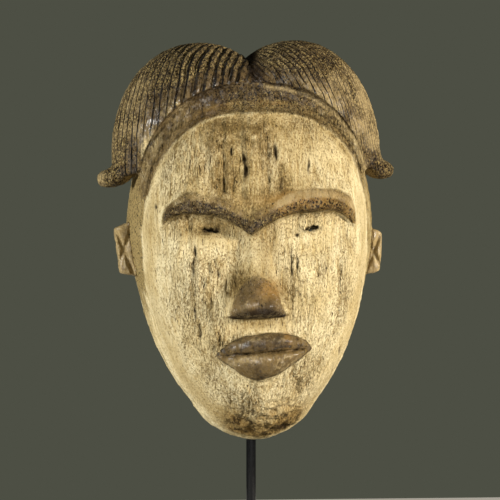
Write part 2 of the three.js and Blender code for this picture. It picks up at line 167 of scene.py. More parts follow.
class StageSettings(bpy.types.PropertyGroup):
    """The plain studio: camera, lights and floor."""

    camera_turn: FloatProperty(
        name="Camera turn", description="Angle of the camera from straight ahead",
        default=math.radians(-5), subtype="ANGLE",
    )
    camera_rise: FloatProperty(
        name="Camera rise", description="Angle of the camera above the level", default=0,
        subtype="ANGLE",
    )
    distance: FloatProperty(
        name="Distance", description="From the camera to the mask", default=1.3, unit="LENGTH"
    )
    view_width: FloatProperty(
        name="View width", description="Width of what the camera sees at the mask", default=0.3,
        unit="LENGTH",
    )
    aim: FloatVectorProperty(
        name="Aim", description="Point in the middle of the picture", size=3,
        default=(-0.0039, 0.0, 0.2078), unit="LENGTH", subtype="TRANSLATION",
    )


def smoothstep(value, low, high):
    t = np.clip((value - low) / (high - low), 0, 1)
    return t * t * (3 - 2 * t)


def falling(value, low, high):
    return 1 - smoothstep(value, low, high)


def mix(a, b, t):
    return a + (b - a) * t


def hill(x, z, width, height):
    return np.exp(-((x / width) ** 2) - (z / height) ** 2)


def patches(x, z, spots):
    """Soft oval patches added up, each with its strength, its middle at x and z, its width and height."""
    return sum(
        most * hill(x - at_x, z - at_z, width, height) for most, at_x, at_z, width, height in spots
    )


def strongest(*shares):
    return np.maximum.reduce(shares)


def left_right(x, left, right, border=0):
    return np.where(x > border, right, left)


def smooth_min(a, b, blend):
    h = np.clip(0.5 + 0.5 * (b - a) / blend, 0, 1)
    return mix(b, a, h) - blend * h * (1 - h)


def smooth_max(a, b, blend):
    return -smooth_min(-a, -b, blend)


def power_length(a, b, power):
    return (np.abs(a) ** power + np.abs(b) ** power) ** (1 / power)


def lattice_value(ix, iy, iz, seed):
    """A repeatable random number from 0 to 1 for each whole-number point."""
    h = ix.astype(np.uint32) * np.uint32(374761393) + iy.astype(np.uint32) * np.uint32(668265263)
    h = h + iz.astype(np.uint32) * np.uint32(2147483647) + np.uint32((seed * 974711) & 0xFFFFFFFF)
    h = (h ^ (h >> np.uint32(13))) * np.uint32(1274126177)
    h = (h ^ (h >> np.uint32(16))) * np.uint32(2246822519)
    return ((h ^ (h >> np.uint32(15))) & np.uint32(0xFFFF)).astype(np.float32) / 65535.0


def noise(points, scales, seed):
    """Smooth noise from 0 to 1 with features as long as scales along x, depth and z."""
    p = points / np.asarray(scales, dtype=np.float32) + np.float32(1000.5 + seed)
    base = np.floor(p).astype(np.int64)
    t = (p - base).astype(np.float32)
    t = t * t * (3 - 2 * t)
    total = np.zeros(len(points), dtype=np.float32)
    for corner in range(8):
        step = np.array([corner & 1, (corner >> 1) & 1, corner >> 2])
        weight = np.prod(np.where(step == 1, t, 1 - t), axis=1)
        cell = base + step
        total += weight * lattice_value(cell[:, 0], cell[:, 1], cell[:, 2], seed)
    return total


def layered_noise(points, scales, seed, layers=3):
    """Noise with finer and fainter layers, from 0 to 1."""
    total = 0
    weight = 0
    for layer in range(layers):
        share = 0.5 ** layer
        total = total + share * noise(points, np.asarray(scales) * share, seed + layer)
        weight += share
    return total / weight


def oval_reach(x, z, half, oval):
    """0 in the middle of an oval, 1 on its edge."""
    middle = oval["middle"]
    upper = z > middle
    rise = np.abs(z - middle) / np.where(upper, oval["top"] - middle, middle - oval["bottom"])
    power = np.where(upper, oval["above"], oval["below"])
    return (np.abs(x / half) ** power + rise ** power) ** (1 / power)


def chin_broadening(z):
    return 1 + CHIN["broader"] * falling(z, 0, CHIN["height"])


def head_reach(x, z, oval=HEAD):
    """The reach of an oval that is narrower at the jaw than at the temples."""
    above_jaw = smoothstep(z, oval["middle"] - 25, oval["middle"] + 25)
    half = mix(oval["jaw_width"], oval["temple_width"], above_jaw)
    return oval_reach(x, z, half * chin_broadening(z), oval)


def plate_distance(x, z):
    """Millimetres outside the pale face, negative inside it."""
    lean = FACE["lean"] * smoothstep(z, 125, 172) * falling(x, -45, -15)
    reach = oval_reach(x - lean, z, FACE["width"] * chin_broadening(z), FACE)
    return (reach - 1) * mix(FACE["top"] - FACE["middle"], FACE["width"], 0.7)


def hairline_distance(x, z):
    """Millimetres outside the hairline, negative inside it."""
    reach = oval_reach(x, z, HAIRLINE["width"], HAIRLINE)
    return (reach - 1) * mix(HAIRLINE["top"] - HAIRLINE["middle"], HAIRLINE["width"], 0.5)


def section_power(z):
    return mix(HEAD["section"], HEAD["crown"], smoothstep(z, HEAD["middle"], HEAD["top"]))


def head_dome(x, z):
    power = section_power(z)
    return HEAD["depth"] * np.maximum(0, 1 - head_reach(x, z) ** power) ** (1 / power)


def brow_line(x):
    """Height of the brow's middle and how steeply it runs, at each x."""
    run = np.linspace(0, BROW_CURVE[-1][0], 200)
    knots = np.array(BROW_CURVE, dtype=float)
    coarse = np.interp(run, knots[:, 0], knots[:, 1])
    kernel = np.hanning(31)
    padded = np.pad(coarse, 15, mode="reflect", reflect_type="odd")
    smooth = np.convolve(padded, kernel / kernel.sum(), mode="valid")
    length = BROW_CURVE[-1][0]
    along = np.abs(x - BROW["dip_x"] * (1 - np.abs(x) / length))
    height = np.interp(along, run, smooth)
    slope = np.interp(along, run, np.gradient(smooth, run))
    return along, height, slope


def brow_shape(x, z):
    """1 on the brow's crest, falling softly above it and sharply below."""
    along, height, slope = brow_line(x)
    across = (z - height) / np.sqrt(1 + slope ** 2)
    above = mix(BROW["above_inner"], BROW["above_outer"], smoothstep(along, 12, 30))
    above = above * (1 - BROW["left_taper"] * smoothstep(-x, 43, 53))
    upper = np.exp(-(np.maximum(across - 0.8, 0) / above) ** 2)
    below = BROW["below"] + 2.2 * np.exp(-((along / 9) ** 2)) + 2.4 * np.exp(-(((along - 34) / 13) ** 2))
    lower = falling(-across, below - 2.4, below + 0.8)
    last = BROW_CURVE[-1][0] + np.where(x > 0, 2.0, 0.5)
    end = falling(along - last, -5, 1)
    return upper * lower * end


def nose_shape(x, z):
    """Millimetres that the nose stands out."""
    t = np.clip((z - NOSE["bottom"]) / (NOSE["top"] - NOSE["bottom"]), 0, 1)
    wide = mix(NOSE["top_width"], NOSE["bottom_width"], (1 - t) ** NOSE["flare"])
    proud = mix(NOSE["top_height"], NOSE["bottom_height"], (1 - t) ** NOSE["bulb"])
    side = np.abs(x - NOSE["x"])
    across = np.minimum(side / wide, 1)
    sole = NOSE["bottom"] - 2.1 + 1.7 * np.minimum(side / 15, 1) ** 2
    rounding = np.sqrt(1 - (1 - np.clip((z - sole) / 9, 0, 1)) ** 2)
    body = np.maximum((proud + 2) * (1 - across ** 2.1) ** 0.62 - 2, 0)
    wings = 4.2 * hill(side - 9, z - 81, 4.8, 5.0) - 0.8 * hill(side, z - 78.5, 3.0, 5.0)
    wings = wings + 1.4 * hill(side, z - 88, 6, 7)
    fade = smoothstep(body, 0, 3)
    bridge = 2.4 * hill(x - NOSE["x"], z - 108, 8, 18)
    return (body + wings * fade) * rounding * (z > sole) + bridge


def mouth_parting(x):
    return MOUTH["z"] + (x - MOUTH["x"]) * math.sin(math.radians(MOUTH["tilt"]))


def lip_shape(x, z):
    """Millimetres that the lips stand out, and 1 on them."""
    s = np.clip((x - MOUTH["x"]) / MOUTH["width"], -1, 1)
    lower_middle = MOUTH["x"] + MOUTH["lower_x"]
    reach = np.where(x < lower_middle, MOUTH["width"] + MOUTH["lower_x"], MOUTH["width"] - MOUTH["lower_x"])
    lower_s = np.clip((x - lower_middle) / reach, -1, 1)
    up = z - mouth_parting(x)
    upper_height = MOUTH["upper"] * (1 - np.abs(s) ** 2.6) ** 0.75
    lower_height = MOUTH["lower"] * (1 - np.abs(lower_s) ** 1.55)
    height = np.maximum(np.where(up > 0, upper_height, lower_height), 0.05)
    v = np.abs(up) / height
    stations = [0, 0.05, 0.15, 0.4, 0.7, 0.9, 1.0, 1.08]
    upper_out = np.interp(v, stations, [0.25, 0.6, 0.88, 1.0, 0.86, 0.55, 0.2, 0])
    lower_out = np.interp(v, stations, [0.25, 0.72, 0.9, 1.0, 0.84, 0.5, 0.16, 0])
    out = np.where(up > 0, upper_out, lower_out)
    proud = MOUTH["proud"] * (1 - s ** 2) ** 0.6 * smoothstep(height, 0, 2)
    on = smoothstep(1.06 - v, 0, 0.08) * (np.abs(s) < 1)
    return out * proud, on


def band_share(x, z):
    """Where a point lies on the band round the forehead: 0 at the face's edge, 1 at the hairline."""
    from_plate = plate_distance(x, z)
    to_hair = -hairline_distance(x, z)
    width = np.maximum(from_plate + to_hair, 3)
    return from_plate / width, smoothstep(from_plate + to_hair, 2, 6) * smoothstep(z, 118, 150)


def front_height(x, z):
    """What is carved on the head's front, in millimetres above its plain dome."""
    dome = head_dome(x, z)
    fade = smoothstep(dome, 0, 0.6 * HEAD["depth"])
    total = 0
    for swell in SWELLS:
        total = total + swell["rise"] * hill(
            np.abs(x) - swell["x"], z - swell["z"], swell["width"], swell["height"]
        )
    lips, _ = lip_shape(x, z)
    ax = np.abs(x - EYE["shift"])
    under_brow = -2.0 * hill(ax - 31, z - 131, 20, 3.6)
    lids = 1.9 * hill(ax - 29, z - 119, 13, 4.2) - 0.9 * hill(ax - 29, z - 111.5, 15, 2.6)
    philtrum = -1.3 * hill(x - NOSE["x"], z - 70, 9, 3.5)
    total = (total + under_brow + lids + philtrum) * fade
    total = total + BROW["height"] * brow_shape(x, z) * smoothstep(dome, 10, 40)
    total = total + (nose_shape(x, z) + lips) * fade
    distance = plate_distance(x, z)
    outside_plate = smoothstep(distance, -0.8, 1.4)
    step = FACE["step"] * smoothstep(z, 95, 120)
    share, band = band_share(x, z)
    roll = 1.9 * np.sqrt(np.clip(1 - ((share - 0.68) / 0.34) ** 2, 0, 1)) * band
    rim = 0.4 * np.exp(-(((distance + 1.0) / 1.1) ** 2)) * smoothstep(z, 150, 185)
    ridge = 1.0 * np.exp(-(((hairline_distance(x, z) + 2.0) / 1.0) ** 2)) * smoothstep(x, 4, 18)
    edges = (roll - outside_plate * step + rim + ridge * band) * smoothstep(dome, 0, 30)
    return total + edges


def domed_distance(x, d, z, oval, power):
    """Roughly the distance outside a dome that rises from an oval."""
    lifted = np.maximum(d, 0) / oval["depth"]
    reach = head_reach(x, z, oval)
    return ((lifted ** power + reach ** power) ** (1 / power) - 1) * oval["radius"]


def head_field(x, d, z):
    """Roughly the distance outside the head, without its hair or ears."""
    return domed_distance(x, d - front_height(x, z), z, HEAD, section_power(z))


def lobe_field(x, d, z, lobe):
    out = (lobe["side"] * x - lobe["x"]) / lobe["width"]
    up = (z - lobe["z"]) / lobe["height"]
    flat = power_length(out, up, LOBE["outline"]) ** LOBE["section"]
    front = LOBE["front"] * mix(1, LOBE["side_front"], np.clip(out, 0, 1) ** 1.5)
    forward = np.abs(d - LOBE["crest"]) / front
    return ((flat + forward ** LOBE["section"]) ** (1 / LOBE["section"]) - 1) * LOBE["radius"]


def hair_edge(x, d, z):
    """Distance outside what is cut away from the hair: inside the hairline, and below its ends."""
    grow = HAIRLINE["bevel"] * np.interp(d, [40, 56, 100], [0, 0.4, 2])
    opening = hairline_distance(x, z) - grow
    end = LOBE_END["z"] - (np.abs(x) - LOBE_END["x"]) * LOBE_END["slope"]
    return opening, z - end


def tip_field(x, d, z, root, end):
    """The lock that flicks outward at a lobe's lower end."""
    side = math.copysign(1, end[0])
    nearest = None
    for t in np.linspace(0, 0.9, 10):
        radius = mix(TIP["root_radius"], TIP["end_radius"], t)
        droop = TIP["droop"] * math.sin(math.pi * t)
        cx = mix(root[0], end[0], t) - 0.6 * side * droop
        cz = mix(root[2], end[2], t) - droop
        cd = mix(root[1], end[1], t)
        ball = np.sqrt((x - cx) ** 2 + ((d - cd) / TIP["deeper"]) ** 2 + (z - cz) ** 2) - radius
        nearest = ball if nearest is None else smooth_min(nearest, ball, 1.5)
    return nearest


def ear_field(x, d, z, ear):
    """A block ear, with crossing cuts in its front."""
    ax = ear["side"] * x
    tall = ear["top"] - ear["bottom"]
    outer = mix(ear["bottom_outer"], ear["outer"], np.clip((z - ear["bottom"]) / tall, 0, 1))
    slant = (ax - EAR["inner"]) / (ear["outer"] - EAR["inner"])
    upper = ear["top"] + EAR["slope"] - 2 * EAR["slope"] * slant
    lower = ear["bottom"] + EAR["slope"] * slant
    middle = (ear["bottom"] + ear["top"]) / 2
    centre = ear["outer"] - EAR["cut_from_outer"]
    cut = 0
    for lean in (-1, 1):
        away = ((ax - centre) + lean * (z - middle) * EAR["lean"] / tall) / 1.08
        cut = np.maximum(cut, 1.7 * np.maximum(0, 1 - np.abs(away) / 1.8))
    front = d - (EAR["front"] - cut)
    block = smooth_max(ax - outer, smooth_max(z - upper, lower - z, 1.5), 1.5)
    return smooth_max(block, smooth_max(front, EAR["back"] - d, 1.5), 1.5)


def hollow_field(x, d, z):
    return domed_distance(x, d, z, HOLLOW, HOLLOW["section"])


def eye_slit_field(x, d, z):
    """Distance outside the pierced eye slits, which run down as they go in."""
    level = EYE["z"] + (d - 77) * math.tan(math.radians(EYE["slant"]))
    ax = np.abs(x - EYE["shift"]) - EYE["x"]
    tilt = math.radians(EYE["tilt"])
    along = ax * math.cos(tilt) + (z - level) * math.sin(tilt)
    across = -ax * math.sin(tilt) + (z - level) * math.cos(tilt)
    across = across + 0.45 * np.sin(1.7 * x + 1.0) + 0.3 * np.sin(3.9 * x + 0.6 * z)
    reach = np.sqrt((along / (EYE["length"] / 2)) ** 2 + (across / (EYE["height"] / 2)) ** 2)
    return (reach - 1) * EYE["height"] / 2


def nearby(x, d, z, side, beyond, low, high):
    """The part of the grid beyond a width on one side of the head, between two heights."""
    across = np.squeeze(x) * side > beyond
    level = (np.squeeze(z) > low) & (np.squeeze(z) < high)
    return np.ix_(across, np.ones(d.shape[1], bool), level), x[across], z[:, :, level]


def mask_field(x, d, z):
    """Roughly the distance outside the whole carving."""
    opening, above_end = hair_edge(x, d, z)
    lobes = np.minimum(lobe_field(x, d, z, LEFT_LOBE), lobe_field(x, d, z, RIGHT_LOBE))
    edge = mix(2.4, 6.5, smoothstep(x, -8, 18))
    hair = smooth_max(smooth_max(lobes, -opening, edge), -above_end, 1.6)
    solid = smooth_min(head_field(x, d, z), hair, mix(0.8, 9.0, smoothstep(d, 30, 55)))
    for root, end in TIPS:
        part, px, pz = nearby(x, d, z, math.copysign(1, end[0]), 60, 140, 190)
        solid[part] = smooth_min(solid[part], tip_field(px, d, pz, root, end), 2.0)
    for ear in EARS:
        part, px, pz = nearby(x, d, z, ear["side"], 55, 86, 144)
        solid[part] = smooth_min(solid[part], ear_field(px, d, pz, ear), 0.8)
    solid = smooth_max(solid, -hollow_field(x, d, z), 1.0)
    part, px, pz = nearby(x, d, z, 0, -1, 100, 140)
    solid[part] = np.maximum(solid[part], -eye_slit_field(px, d, pz))
    return smooth_max(solid, -d + 0 * solid, 0.8)


def surface_net(field, origin, step):
    """Quads on the surface where a sampled field crosses zero."""
    inside = field < 0
    filled = np.zeros(tuple(n - 1 for n in field.shape), dtype=np.uint8)
    corners = [(i, j, k) for i in (0, 1) for j in (0, 1) for k in (0, 1)]
    nx, ny, nz = filled.shape
    for i, j, k in corners:
        filled += inside[i:i + nx, j:j + ny, k:k + nz]
    cells = np.argwhere((filled > 0) & (filled < 8))
    number = np.full(filled.shape, -1, dtype=np.int32)
    number[tuple(cells.T)] = np.arange(len(cells), dtype=np.int32)
    position = np.zeros((len(cells), 3), dtype=np.float32)
    crossings = np.zeros(len(cells), dtype=np.float32)
    for a in corners:
        for axis in range(3):
            if a[axis]:
                continue
            b = list(a)
            b[axis] = 1
            fa = field[tuple((cells + a).T)]
            fb = field[tuple((cells + b).T)]
            cross = (fa < 0) != (fb < 0)
            t = np.where(cross, fa / np.where(cross, fa - fb, 1), 0)
            place = np.tile(np.array(a, dtype=np.float32), (len(cells), 1))
            place[:, axis] += t
            position += place * cross[:, None]
            crossings += cross
    vertices = (cells + position / crossings[:, None]) * step + origin
    quads = []
    for axis in range(3):
        first, second = [n for n in range(3) if n != axis]
        low = [slice(1, -1)] * 3
        high = [slice(1, -1)] * 3
        low[axis] = slice(None, -1)
        high[axis] = slice(1, None)
        starts = inside[tuple(low)]
        edges = np.argwhere(starts != inside[tuple(high)])
        edges[:, first] += 1
        edges[:, second] += 1
        ring = []
        for one, two in ((1, 1), (0, 1), (0, 0), (1, 0)):
            cell = edges.copy()
            cell[:, first] -= one
            cell[:, second] -= two
            ring.append(number[tuple(cell.T)])
        quad = np.stack(ring, axis=1)
        turned = inside[tuple(edges.T)] ^ (axis == 1)
        quad[~turned] = quad[~turned][:, ::-1]
        quads.append(quad)
    return vertices.astype(np.float32), np.concatenate(quads)


def vertex_normals(vertices, quads):
    a, b, c, e = (vertices[quads[:, n]] for n in range(4))
    face = np.cross(c - a, e - b)
    normals = np.zeros_like(vertices)
    for axis in range(3):
        for n in range(4):
            normals[:, axis] += np.bincount(quads[:, n], weights=face[:, axis], minlength=len(vertices))
    return normals / np.maximum(np.linalg.norm(normals, axis=1, keepdims=True), 1e-9)


def strand_phase(x, d, z, lobe):
    """Which strand a point of a lobe lies on, counted outward from the cleft."""
    out = lobe["side"] * x + HINGE["x"]
    up = z - HINGE["z"]
    forward = d - HINGE["depth"]
    turn = np.zeros_like(out + up + forward)
    for _ in range(4):
        tilt = np.radians(mix(lobe["tilt"], HINGE["end_tilt"], np.clip(turn / HINGE["last"], 0, 1)))
        turn = np.degrees(np.arctan2(out * np.cos(tilt) + up * np.sin(tilt), forward))
    return turn * lobe["strands"] / HINGE["last"]


def on_left_lobe(x, d, z):
    return lobe_field(x, d, z, LEFT_LOBE) < lobe_field(x, d, z, RIGHT_LOBE)


def hair_relief(points, weight):
    """The cuts between strands: the strand number, how open each cut is, and the sink in millimetres."""
    x, d, z = points.T
    left = on_left_lobe(x, d, z)
    phase = np.where(left, strand_phase(x, d, z, LEFT_LOBE), strand_phase(x, d, z, RIGHT_LOBE))
    wobble = noise(points, (16, 16, 22), 11) + 0.5 * noise(points, (6, 6, 9), 12)
    phase = phase + np.where(left, 0.5, 0.9) * (wobble - 0.75)
    share = phase - np.floor(phase)
    from_cut = np.minimum(share, 1 - share)
    cut = np.exp(-((from_cut / np.where(left, 0.12, 0.2)) ** 2))
    vary = mix(0.6, 1.15, layered_noise(points, (6, 6, 16), 13))
    broken = smoothstep(layered_noise(points, (6, 6, 10), 14), 0.34, 0.5)
    strokes = np.maximum(smoothstep(noise(points, (4, 4, 7), 15), 0.34, 0.55), smoothstep(x, 38, 58))
    worn = np.where(left, mix(0.8, 1.2, broken), mix(0.65, 1.3, strokes) * mix(0.7, 1, broken))
    depth = np.where(left, LEFT_LOBE["groove"], RIGHT_LOBE["groove"])
    crown = 0.3 * np.sin(math.pi * share)
    cut = cut * vary * worn * weight
    return phase, vary * worn * weight, cut * depth - crown * weight


def regions(x, d, z):
    """Shares from 0 to 1 that say which part of the carving each point belongs to."""
    opening, above_end = hair_edge(x, d, z)
    inner = falling(hollow_field(x, d, z), 0.8, 1.6)
    outside = 1 - inner
    tip = smoothstep(np.abs(x), 74, 79) * smoothstep(z, 142, 146) * falling(z, 172, 178) * outside
    hair = smoothstep(opening, -0.8, 0.4) * smoothstep(above_end, -1.2, 0.0) * outside
    hair = np.maximum(hair, tip)
    ear = smoothstep(domed_distance(x, d, z, HEAD, section_power(z)), 0.3, 1.0)
    ear = ear * smoothstep(z, 90, 93) * falling(z, 136, 139) * smoothstep(np.abs(x), 60, 64)
    ear = ear * outside * (1 - hair)
    bevel = 1.6 * smoothstep(z, 168, 188)
    plate = falling(plate_distance(x, z) + bevel, -1.6, 1.6)
    plate = plate * smoothstep(d, 8, 12) * outside * (1 - ear) * (1 - hair)
    return dict(inner=inner, hair=hair, ear=ear, plate=plate, tip=tip)


# Splits, slots and worm holes that stand out, each with its middle at x and z, its width, its height
# and its depth.
MARKS = (
    (-7.3, 160.5, 1.1, 4.8, 3.0), (-8.2, 165.5, 0.8, 3.2, 2.0), (-15.5, 170, 0.7, 3.0, 1.6),
    (29.5, 159, 0.9, 4.6, 2.2), (10.0, 168, 1.1, 6.5, 1.6), (13.2, 152, 1.3, 7.5, 1.6),
    (6.2, 170, 1.0, 6.0, 0.9), (-38.5, 78, 0.6, 14.0, 1.3), (-35.6, 66, 0.8, 6.0, 1.6),
    (-37.5, 112, 0.7, 4.2, 1.6), (-38.8, 104, 0.7, 5.0, 1.2), (-24.5, 99, 0.7, 4.0, 1.4),
    (-14.5, 95, 0.8, 3.4, 1.6), (18.3, 104, 0.6, 12.0, 1.4), (21.6, 103, 0.6, 10.0, 1.2),
    (38, 103, 0.7, 5.0, 1.4), (-58.5, 139.5, 1.1, 1.6, 1.8), (21.9, 121, 0.9, 0.9, 2.2),
    (-27.9, 55.5, 0.8, 2.6, 2.0), (14.6, 7.5, 6.0, 1.5, 2.4), (48, 52, 0.8, 3.0, 1.0),
    (44, 42, 0.8, 2.6, 1.0),
)

# Soft oval patches, each with its strength, its middle at x and z, its width and its height.
SOUND_WOOD = (
    (0.7, -16, 40, 14, 13), (0.35, -42, 74, 15, 24), (0.75, 44, 164, 20, 26), (0.5, 40, 58, 16, 22),
    (0.5, 25, 68, 13, 24), (0.6, 55, 104, 9, 15),
)
SMOKED_FOREHEAD = (
    (0.8, -12, 186, 42, 13), (0.5, -14, 160, 27, 22), (0.2, 0, 150, 40, 26), (0.5, 13, 153, 5, 9),
    (0.3, 24, 168, 18, 16),
)
# Painted shade: on the left lid and temple, on the nose and beside it, on its bridge and between nose and
# lips.
SHADED = (
    (0.75, -31, 125, 22, 7), (0.12, -44, 156, 20, 26), (0.5, -15, 92, 9, 17), (0.6, 3, 115, 9, 13),
    (0.7, 0, 70, 18, 5.5), (0.7, NOSE["x"], 92, 16, 13),
)
AMBER = ((1.1, 5, 90, 8, 6), (1.2, 16, 141.5, 11, 4), (0.4, -6, 141, 13, 5), (1, 14, 61, 2.2, 6))
# Spots on the lips and the hair's ends that are polished, and also painted lighter as highlights.
LIP_GLINTS = ((1, 13, 48.6, 10, 5), (1, -18, 46, 7, 4), (1, 12, 42.5, 9, 3), (1, -1, 61.5, 22, 3))
STRAND_END_GLINTS = ((1, -44, 196, 14, 7), (0.8, 39, 205, 5, 4))


def marks(points):
    x, _, z = points.T
    sway = 1.2 * (noise(points, (6, 6, 4), 31) - 0.5)
    total = 0
    for at_x, at_z, width, height, depth in MARKS:
        shape = ((x + sway - at_x) / width) ** 2 + ((z - at_z) / height) ** 2
        total = np.maximum(total, depth * np.exp(-shape))
    return total * mix(0.35, 1, smoothstep(noise(points, (2.5, 3, 3.5), 33), 0.3, 0.6))


def survey(points):
    """What lies at each point of the surface: the parts of the carving and the patterns in its wood."""
    x, d, z = points.T
    forward = smoothstep(d, 30, 60)
    x = x + 0.8 * (noise(points, (7, 7, 10), 41) - 0.5) * forward
    z = z + 1.0 * (noise(points, (7, 7, 10), 42) - 0.5) * forward
    at = SimpleNamespace(x=x, d=d, z=z, **regions(x, d, z))
    at.side = np.clip(1 - at.plate - at.hair - at.ear - at.inner, 0, 1)

    _, height, slope = brow_line(x)
    at.above_brow = (z - height) / np.sqrt(1 + slope ** 2)
    at.brow = brow_shape(x, z) * at.plate
    at.brow_dark = at.brow * np.exp(-((np.maximum(at.above_brow - 0.3, 0) / 1.9) ** 2))
    at.brow_top = smoothstep(at.brow, 0.15, 0.75)
    _, on_lips = lip_shape(x, z)
    at.lips = on_lips * at.plate * (d > 55) * (1 - 0.35 * smoothstep(x, 18, 28))
    at.upper_lip = at.lips * (z > mouth_parting(x))
    nose_half = 17 * (1 - np.clip((z - 73.5) / 29, 0, 1) ** 1.9) + 0.1
    nose = falling(np.abs(x - NOSE["x"] + 0.5) / nose_half, 0.75, 1.15) * at.plate
    nose = nose * (1 - 0.3 * smoothstep(x - NOSE["x"], 8, 14) * smoothstep(z, 77, 80))
    at.nose = nose * smoothstep(z, 72.5, 74.5) * falling(z, 90, 105)
    at.rough = at.plate * (1 - np.clip(at.brow + at.lips + at.nose, 0, 1))

    from_edge = smoothstep(hairline_distance(x, z), 0.5, 4.5)
    at.strand, at.open_cut, at.cuts = hair_relief(points, at.hair * from_edge * (1 - 0.8 * at.tip))
    at.chip = hill(x + 61, z - 172.6, 7, 12) * at.hair
    flank = smoothstep(np.abs(x), 42, 74) * left_right(x, 0.4, 0.7) * smoothstep(z, 158, 178)
    at.flank = strongest(flank, 0.75 * hill(x - 46, z - 200, 20, 17))
    at.share, band = band_share(x, z)
    at.on_band = at.side * band * smoothstep(d, 40, 60)
    at.to_side = smoothstep(np.abs(x), 22, 52)
    at.roll = at.on_band * smoothstep(at.share, 0.3, 0.5) * mix(1, 0.1, at.to_side)

    at.pits = smoothstep(layered_noise(points, (1.7, 8, 5), 22, 2), 0.62, 0.76)
    at.worms = smoothstep(noise(points, (1.6, 5, 2.6), 23), 0.80, 0.93)
    at.crumble = layered_noise(points, (4.2, 4.2, 2.8), 24, 3)
    at.grit = layered_noise(points, (2.4, 2.4, 2.0), 34, 2)
    at.rubbed = smoothstep(layered_noise(points, (9, 9, 9), 28), 0.38, 0.68)
    at.rot = smoothstep(34 - z, 0, 18) * smoothstep(31 - np.abs(x - 2), 0, 14)
    at.mark = marks(points) * at.plate

    at.inset = -plate_distance(x, z)
    margin = mix(1.0, 3.0, falling(z, 140, 165))
    patchy = smoothstep(layered_noise(points, (15, 20, 30), 29), 0.35, 0.65)
    sockets = hill(np.abs(x - EYE["shift"]) - 28, z - 119, 22, 10)
    bridge = hill(x - NOSE["x"], z - 110, 15, 17)
    weathered = at.rough * mix(0.2, 1, smoothstep(at.inset, margin, 5 * margin)) * mix(0.4, 1, patchy)
    weathered = weathered * (1 - 0.85 * np.maximum(sockets, bridge))
    weathered = weathered * (1 - 0.9 * hill(x - NOSE["x"] - 2, z - 68, 17, 5))
    for most, at_x, at_z, width, tall in SOUND_WOOD:
        weathered = weathered * (1 - most * hill(x - at_x, z - at_z, width, tall))
    at.weathered = weathered

    # Spots that are polished to glint, and also painted lighter in colour as highlights.
    at.lip_glints = at.lips * np.clip(patches(x, z, LIP_GLINTS), 0, 1)
    at.wing_glints = at.nose * hill(np.abs(x - NOSE["x"]) - 9, z - 83, 5, 5)
    at.strand_ends = at.hair * patches(x, z, STRAND_END_GLINTS)
    return at


def sunk(at, points):
    """How far each point lies below the plain carving, in millimetres."""
    furrows = smoothstep(layered_noise(points, (2.3, 6, 13), 21, 2), 0.42, 0.72)
    gouges = smoothstep(layered_noise(points, (3.2, 20, 22), 30, 2), 0.56, 0.78)
    broad = layered_noise(points, (19, 19, 30), 25, 2) - 0.5
    sink = at.cuts
    sink = sink + at.weathered * (1.0 * furrows + 0.8 * at.pits + 0.6 * at.worms + 1.0 * gouges - 0.5)
    sink = sink + at.rough * 0.9 * broad
    sink = sink + at.plate * at.rot * 4.6 * (at.crumble - 0.42)
    sink = sink + (1.7 * at.brow + 1.2 * at.lips + 0.4 * at.nose) * (at.crumble - 0.5)
    sink = sink + 0.35 * (at.brow + at.lips) * at.pits
    sink = sink + (at.side + at.ear) * (1.1 * (at.crumble - 0.5) + 0.3 * furrows)
    sink = sink + at.hair * 0.8 * (layered_noise(points, (2.6, 2.6, 3.6), 26) - 0.5)
    sink = sink + at.chip * 2.5 * (at.crumble - 0.5)
    sink = sink + at.inner * 0.9 * (noise(points, (13, 13, 9), 27) - 0.5)
    return sink + at.mark


def patina_shares(at):
    """Where the patina lies, and where it is deepest; the deepest share also holds painted shade under the
    nose's tip and the hair's painted shadow on the band.
    """
    x, d, z = at.x, at.d, at.z
    temple = mix(0.25, left_right(x, 0.7, 0.6), smoothstep(z, 60, 108)) * smoothstep(d, 0.5, 4)
    temple = temple + 0.12 * falling(d, 30, 50)
    upper_side = mix(0.86, left_right(x, 0.62, 0.56), at.to_side * smoothstep(d, 30, 50))
    side_patina = mix(temple, upper_side, smoothstep(z, 146, 172))
    brow = strongest(at.brow_dark, left_right(x, 0.6, 0.95, 2) * at.brow_top)
    patina = at.hair * (1 - 0.75 * at.chip) + brow + 0.95 * at.lips + at.nose
    patina = np.clip(patina + at.ear + at.side * side_patina, 0, 1)
    # Darker at the nose's bottom, as painted shade under its tip, and on its upper left.
    under_tip = hill(x - NOSE["x"] - 2, z - 76, 7, 6.5) + 0.9 * hill(x + 6, z - 97, 9, 8)
    # The band's upper part, under the hair, is darker as deep patina and as the hair's painted shadow.
    deep = at.hair * (1 - 0.3 * at.flank) + at.brow_dark + 0.4 * at.lips + at.roll
    deep = strongest(
        np.clip(deep + at.nose * (0.6 + 0.4 * under_tip), 0, 1),
        at.upper_lip * hill(x + 1, z - 58.5, 18, 5),
        0.8 * at.lips * hill(x + 1, z - 39.5, 9, 3.5),
    )
    return patina, deep


